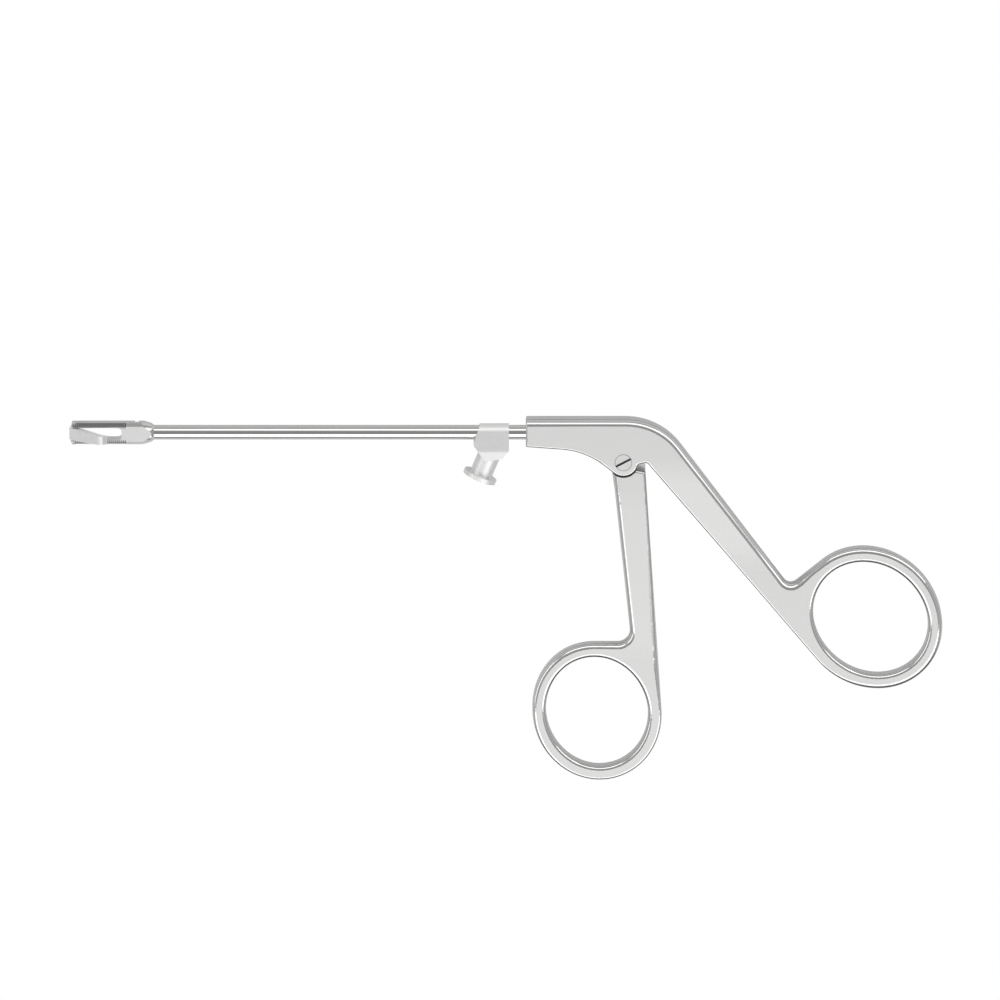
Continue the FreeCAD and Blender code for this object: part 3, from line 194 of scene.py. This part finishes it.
def ramp(material, value, stops):
    """A grey level that follows stops (place, level)."""
    item = add(material, "ShaderNodeValToRGB")
    elements = item.color_ramp.elements
    while len(elements) < len(stops):
        elements.new(0.5)
    for element, (place, level) in zip(elements, stops):
        element.position = place
        element.color = (level, level, level, 1)
    link(material, value, item.inputs["Fac"])
    return item.outputs["Color"]


def bump(material, surface, value, strength, distance):
    node = add(material, "ShaderNodeBump")
    node.inputs["Strength"].default_value = strength
    node.inputs["Distance"].default_value = distance
    link(material, value, node.inputs["Height"])
    link(material, node.outputs["Normal"], surface.inputs["Normal"])


def grey(level, warm=0.003):
    """A steel grey, hardly warm."""
    return (level + warm, level, level - warm)


def facing(material):
    """How flat the surface lies, and how far it faces up the photograph (+Y)."""
    geometry = add(material, "ShaderNodeNewGeometry")
    parts = add(material, "ShaderNodeSeparateXYZ")
    link(material, geometry.outputs["Normal"], parts.inputs["Vector"])
    flat = add(material, "ShaderNodeMath", operation="ABSOLUTE")
    link(material, parts.outputs["Z"], flat.inputs[0])
    return flat.outputs["Value"], parts.outputs["Y"]


def darken(material, color, share):
    """A colour multiplied by a value from 0 to 1."""
    mix = add(material, "ShaderNodeVectorMath", operation="SCALE")
    link(material, color, mix.inputs[0])
    link(material, share, mix.inputs["Scale"])
    return mix.outputs["Vector"]


def painted_crevice_shade(material, distance, dark):
    """Painted shade: 1 on open surfaces, falling to dark in grooves narrower than the distance."""
    shade = add(material, "ShaderNodeAmbientOcclusion")
    shade.samples = CREVICE_SAMPLES
    shade.only_local = True
    shade.inputs["Distance"].default_value = distance
    return spread(material, shade.outputs["AO"], dark, 1, *OPEN_SHARE)


def painted_edge_shade(material, up, ahead):
    """Painted shade: dark where an upper edge turns into the side, and all over the lower edges.
    """
    lower = spread(material, ahead, 1, 0, *LOWER_SIDES)
    return blend(material, "RGBA", lower, ramp(material, up, UPPER_EDGE_SHADE),
                 ramp(material, up, LOWER_EDGE_SHADE))


def steel(name, level, rough, stretch, scale, spread_by, relief):
    """Steel whose finish has fine lines along one direction."""
    material, surface = shader(name, 1.0, rough, grey(level))
    lines = stretched_noise(material, stretch, scale)
    link(material, tint(material, lines, level, LINE_CONTRAST), surface.inputs["Base Color"])
    link(material, spread(material, lines, rough - spread_by, rough + spread_by),
         surface.inputs["Roughness"])
    bump(material, surface, lines, relief, LINE_DEPTH)
    return material


def satin_and_polished(name, level, satin, polished, line=False, groove_shade=None):
    """Satin flat sides, with the rounded edges polished bright; painted shade along the edges and
    in grooves when asked.
    """
    material, surface = shader(name, 1.0, satin, grey(level))
    grain = stretched_noise(material, *SATIN_GRAIN)
    up, ahead = facing(material)
    roughness = blend(material, "FLOAT", spread(material, up, 0, 1, *FLAT_FACES),
                      spread(material, grain, polished - 0.02, polished + 0.02),
                      spread(material, grain, satin - 0.04, satin + 0.04))
    link(material, roughness, surface.inputs["Roughness"])
    color = tint(material, grain, level, SATIN_CONTRAST)
    # painted shade along the edges
    if line:
        color = darken(material, color, painted_edge_shade(material, up, ahead))
    # painted shade in the grooves
    if groove_shade:
        color = darken(material, color, painted_crevice_shade(material, *groove_shade))
    link(material, color, surface.inputs["Base Color"])
    bump(material, surface, grain, *SATIN_RELIEF)
    return material


def screw_steel(name, level):
    """Satin like the handle, with a dark slot and a dark seam round the head, both painted shade.
    """
    material, surface = shader(name, 1.0, 0.5, grey(level))
    grain = stretched_noise(material, *SATIN_GRAIN)
    link(material, spread(material, grain, 0.45, 0.55), surface.inputs["Roughness"])
    place = add(material, "ShaderNodeTexCoord")
    level_place = add(material, "ShaderNodeVectorMath", operation="MULTIPLY")
    level_place.inputs[1].default_value = (1, 1, 0)
    link(material, place.outputs["Object"], level_place.inputs[0])
    reach = add(material, "ShaderNodeVectorMath", operation="LENGTH")
    link(material, level_place.outputs["Vector"], reach.inputs[0])
    # painted shade round the head's rim
    seam_shade = spread(material, reach.outputs["Value"], 1, SEAM_SHADE_SHARE, *HEAD_SEAM_SHADE)
    color = darken(material, tint(material, grain, level, SATIN_CONTRAST), seam_shade)
    # painted shade in the slot
    color = darken(material, color, painted_crevice_shade(material, *SCREW_SLOT_SHADE))
    link(material, color, surface.inputs["Base Color"])
    bump(material, surface, grain, *SATIN_RELIEF)
    return material


def rubber(name):
    material, surface = shader(name, 0.0, 0.5, (0.02, 0.02, 0.022))
    grain = stretched_noise(material, EVERY_WAY, 1500)
    link(material, spread(material, grain, 0.4, 0.6), surface.inputs["Roughness"])
    bump(material, surface, grain, 0.1, LINE_DEPTH)
    return material


FINISHES = {
    # this finish gets painted shade along its edges
    "satin_steel": satin_and_polished("satin_steel", 0.72, 0.52, 0.11, line=True),
    "tube_steel": steel("tube_steel", 0.66, 0.10, ALONG_SHAFT, 1400, 0.03, 0.02),
    # this finish gets painted shade in its tooth grooves
    "head_steel": satin_and_polished("head_steel", 0.74, 0.48, 0.16, groove_shade=TOOTH_GROOVE_SHADE),
    "jaw_steel": steel("jaw_steel", 0.97, 0.42, ACROSS_JAW, 2400, 0.05, 0.04),
    "port_steel": steel("port_steel", 0.90, 0.50, EVERY_WAY, 2600, 0.04, 0.02),
    # this finish gets painted shade in its slot and round its rim
    "screw_steel": screw_steel("screw_steel", 0.72),
    "fine_steel": steel("fine_steel", 0.66, 0.22, AROUND_SHAFT, 1600, 0.05, 0.04),
    "seal": rubber("seal"),
}


def dress_nodes():
    """Gives each node the finish of its material slot."""
    for part in frame["record"]["subparts"]:
        node = frame["nodes"][part["node"]]
        node.data.materials.clear()
        node.data.materials.append(FINISHES[part["material_slot"]])


# The rear arm's edges

def half_thickness(y):
    """Half the fixed handle's thickness at a height, in millimetres."""
    (first, thick), (last, thin) = TAPER
    slope = (thick - thin) / (first - last)
    reach = TAPER_BLEND * math.tan(math.atan(slope) / 2)
    if y > first + reach:
        return thick
    if y > first - reach:
        return thick - TAPER_BLEND + math.sqrt(TAPER_BLEND ** 2 - (first + reach - y) ** 2)
    if y > last + reach:
        return thick - (first - y) * slope
    if y > last - reach:
        return thin + TAPER_BLEND - math.sqrt(TAPER_BLEND ** 2 - (y - last + reach) ** 2)
    return thin


def bend_wall(spot):
    """How deep a point lies under the bend's wall, and where the wall faces."""
    offset = Vector((spot.x, spot.y)) - Vector(BEND_CENTRE)
    turn = math.degrees(math.atan2(offset.y, offset.x))
    if BEND_TURNS[0] < turn < BEND_TURNS[1]:
        return BEND_RADIUS - offset.length, offset.normalized()


def straight_wall(spot, line, inward, span):
    """The same for a straight wall through two points."""
    first, last = (Vector(point) for point in line)
    along = (last - first).normalized()
    across = Vector((-along.y, along.x)) * inward
    offset = Vector((spot.x, spot.y)) - first
    if span[0] < offset.dot(along) < span[1]:
        return offset.dot(across), -across


def outer_wall(spot):
    return straight_wall(spot, ARM_OUTER, -1, OUTER_SPAN)


def inner_wall(spot):
    return straight_wall(spot, ARM_INNER, 1, INNER_SPAN)


def even_round(spot, depth, outward, radius):
    """Moves a point of a rounded edge to where it lies with the wanted radius.

    Also gives the normal there, or None for a point that isn't on a rounded edge.
    """
    below = half_thickness(spot.y) - abs(spot.z - MIDDLE)
    least, most = ROUND_LIMITS
    if max(depth, below) > most:
        return spot, None
    under_wall, under_face = max(depth, 0), max(below, 0)
    present = under_wall + under_face + math.sqrt(2 * under_wall * under_face)
    if not least < present < most:
        return spot, None
    scale = radius / present
    place = Vector((spot.x, spot.y)) - outward * depth * (scale - 1)
    side = 1 if spot.z > MIDDLE else -1
    height = half_thickness(place.y) - below * scale
    slope = half_thickness(place.y + SLOPE_STEP) - half_thickness(place.y - SLOPE_STEP)
    face = Vector((0, -slope / (2 * SLOPE_STEP), side)).normalized()
    wall = Vector((outward.x, outward.y, 0))
    normal = wall * (radius - depth * scale) + face * (radius - below * scale)
    return Vector((place.x, place.y, MIDDLE + side * height)), normal.normalized()


def make_handle():
    """The fixed handle with evenly rounded edges along its rear arm."""
    mesh = frame["nodes"]["fixed_handle"].data.copy()
    mesh.name = "forged_handle"
    normals = [tuple(corner.vector) for corner in mesh.corner_normals]
    turned = {}
    for vertex in mesh.vertices:
        spot = vertex.co / MM
        for find_wall, radius in ((bend_wall, OUTER_ROUND), (outer_wall, OUTER_ROUND),
                                  (inner_wall, INNER_ROUND)):
            wall = find_wall(spot)
            if wall:
                spot, normal = even_round(spot, *wall, radius)
                if normal:
                    turned[vertex.index] = tuple(normal)
        vertex.co = spot * MM
    for corner in mesh.loops:
        normals[corner.index] = turned.get(corner.vertex_index, normals[corner.index])
    mesh.normals_split_custom_set(normals)
    handle = bpy.data.objects.new("forged_handle", mesh)
    bpy.context.collection.objects.link(handle)
    mesh.materials.clear()
    mesh.materials.append(FINISHES["satin_steel"])
    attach(handle, "fixed_body")
    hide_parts("fixed_handle")


# Table, light and camera

def make_floor():
    """A table that shows as white, to the camera and partly in the steel."""
    bpy.ops.mesh.primitive_plane_add(size=FLOOR_SIZE, location=(0, 0, FLOOR))
    floor = bpy.context.object
    floor.name = "table_top"
    material, surface = shader("table_white", 0.0, 0.9, (FLOOR_LEVEL,) * 3)
    paths = add(material, "ShaderNodeLightPath")
    glow = add(material, "ShaderNodeEmission")
    glow.inputs["Color"].default_value = (1, 1, 1, 1)
    glow.inputs["Strength"].default_value = 1.0
    seen = add(material, "ShaderNodeMath", operation="MULTIPLY")
    seen.inputs[1].default_value = GLOW_SEEN
    link(material, paths.outputs["Is Camera Ray"], seen.inputs[0])
    share = add(material, "ShaderNodeMath", operation="MULTIPLY_ADD")
    share.inputs[1].default_value = GLOW_MIRRORED
    link(material, paths.outputs["Is Glossy Ray"], share.inputs[0])
    link(material, seen.outputs["Value"], share.inputs[2])
    mix = add(material, "ShaderNodeMixShader")
    link(material, share.outputs["Value"], mix.inputs["Fac"])
    link(material, surface.outputs["BSDF"], mix.inputs[1])
    link(material, glow.outputs["Emission"], mix.inputs[2])
    output = material.node_tree.nodes["Material Output"]
    link(material, mix.outputs["Shader"], output.inputs["Surface"])
    floor.data.materials.append(material)


def softbox(name, azimuth, lean, width, height, radiance):
    """A soft light that hangs lean degrees from overhead, on the side that azimuth gives."""
    light = bpy.data.lights.new(name, "AREA")
    light.shape = "RECTANGLE"
    light.size = width
    light.size_y = height
    light.energy = radiance * math.pi * width * height
    lamp = bpy.data.objects.new(name, light)
    bpy.context.collection.objects.link(lamp)
    side = Vector((math.cos(math.radians(azimuth)), math.sin(math.radians(azimuth)), 0))
    out = side * math.sin(math.radians(lean)) + Vector((0, 0, math.cos(math.radians(lean))))
    lamp.location = out * LAMP_REACH
    lamp.rotation_euler = out.to_track_quat("Z", "Y").to_euler()


def make_light():
    """Softboxes round the table, in a room that is dimmer overhead and at the horizon."""
    for box in SOFTBOXES:
        softbox(*box)
    world = bpy.data.worlds.new("pale_room")
    bpy.context.scene.world = world
    world.use_nodes = True
    place = add(world, "ShaderNodeTexCoord")
    parts = add(world, "ShaderNodeSeparateXYZ")
    link(world, place.outputs["Generated"], parts.inputs["Vector"])
    background = world.node_tree.nodes["Background"]
    link(world, ramp(world, parts.outputs["Z"], ROOM_TONES), background.inputs["Color"])
    background.inputs["Strength"].default_value = 1.0


def make_camera():
    """A long lens, so that the object stands almost without perspective."""
    camera = bpy.data.cameras.new("photo_camera")
    camera.sensor_width = SENSOR_WIDTH
    camera.lens = SENSOR_WIDTH * CAMERA_REACH / PHOTO_WIDTH
    camera.clip_end = 20
    holder = bpy.data.objects.new("photo_camera", camera)
    bpy.context.collection.objects.link(holder)
    per_pixel = PHOTO_WIDTH / PHOTO_SIZE
    centre = PHOTO_SIZE / 2
    right = (centre - PIVOT_PIXEL[0]) * per_pixel
    up = (PIVOT_PIXEL[1] - centre) * per_pixel
    target = Vector((right, up / math.cos(TILT), MID_HEIGHT))
    back = Vector((0, math.sin(TILT), math.cos(TILT)))
    holder.location = target + back * CAMERA_REACH
    holder.rotation_euler = (-TILT, 0, 0)
    bpy.context.scene.camera = holder


dress_nodes()
make_handle()
make_floor()
make_light()
make_camera()
bpy.context.scene.view_settings.view_transform = "Standard"
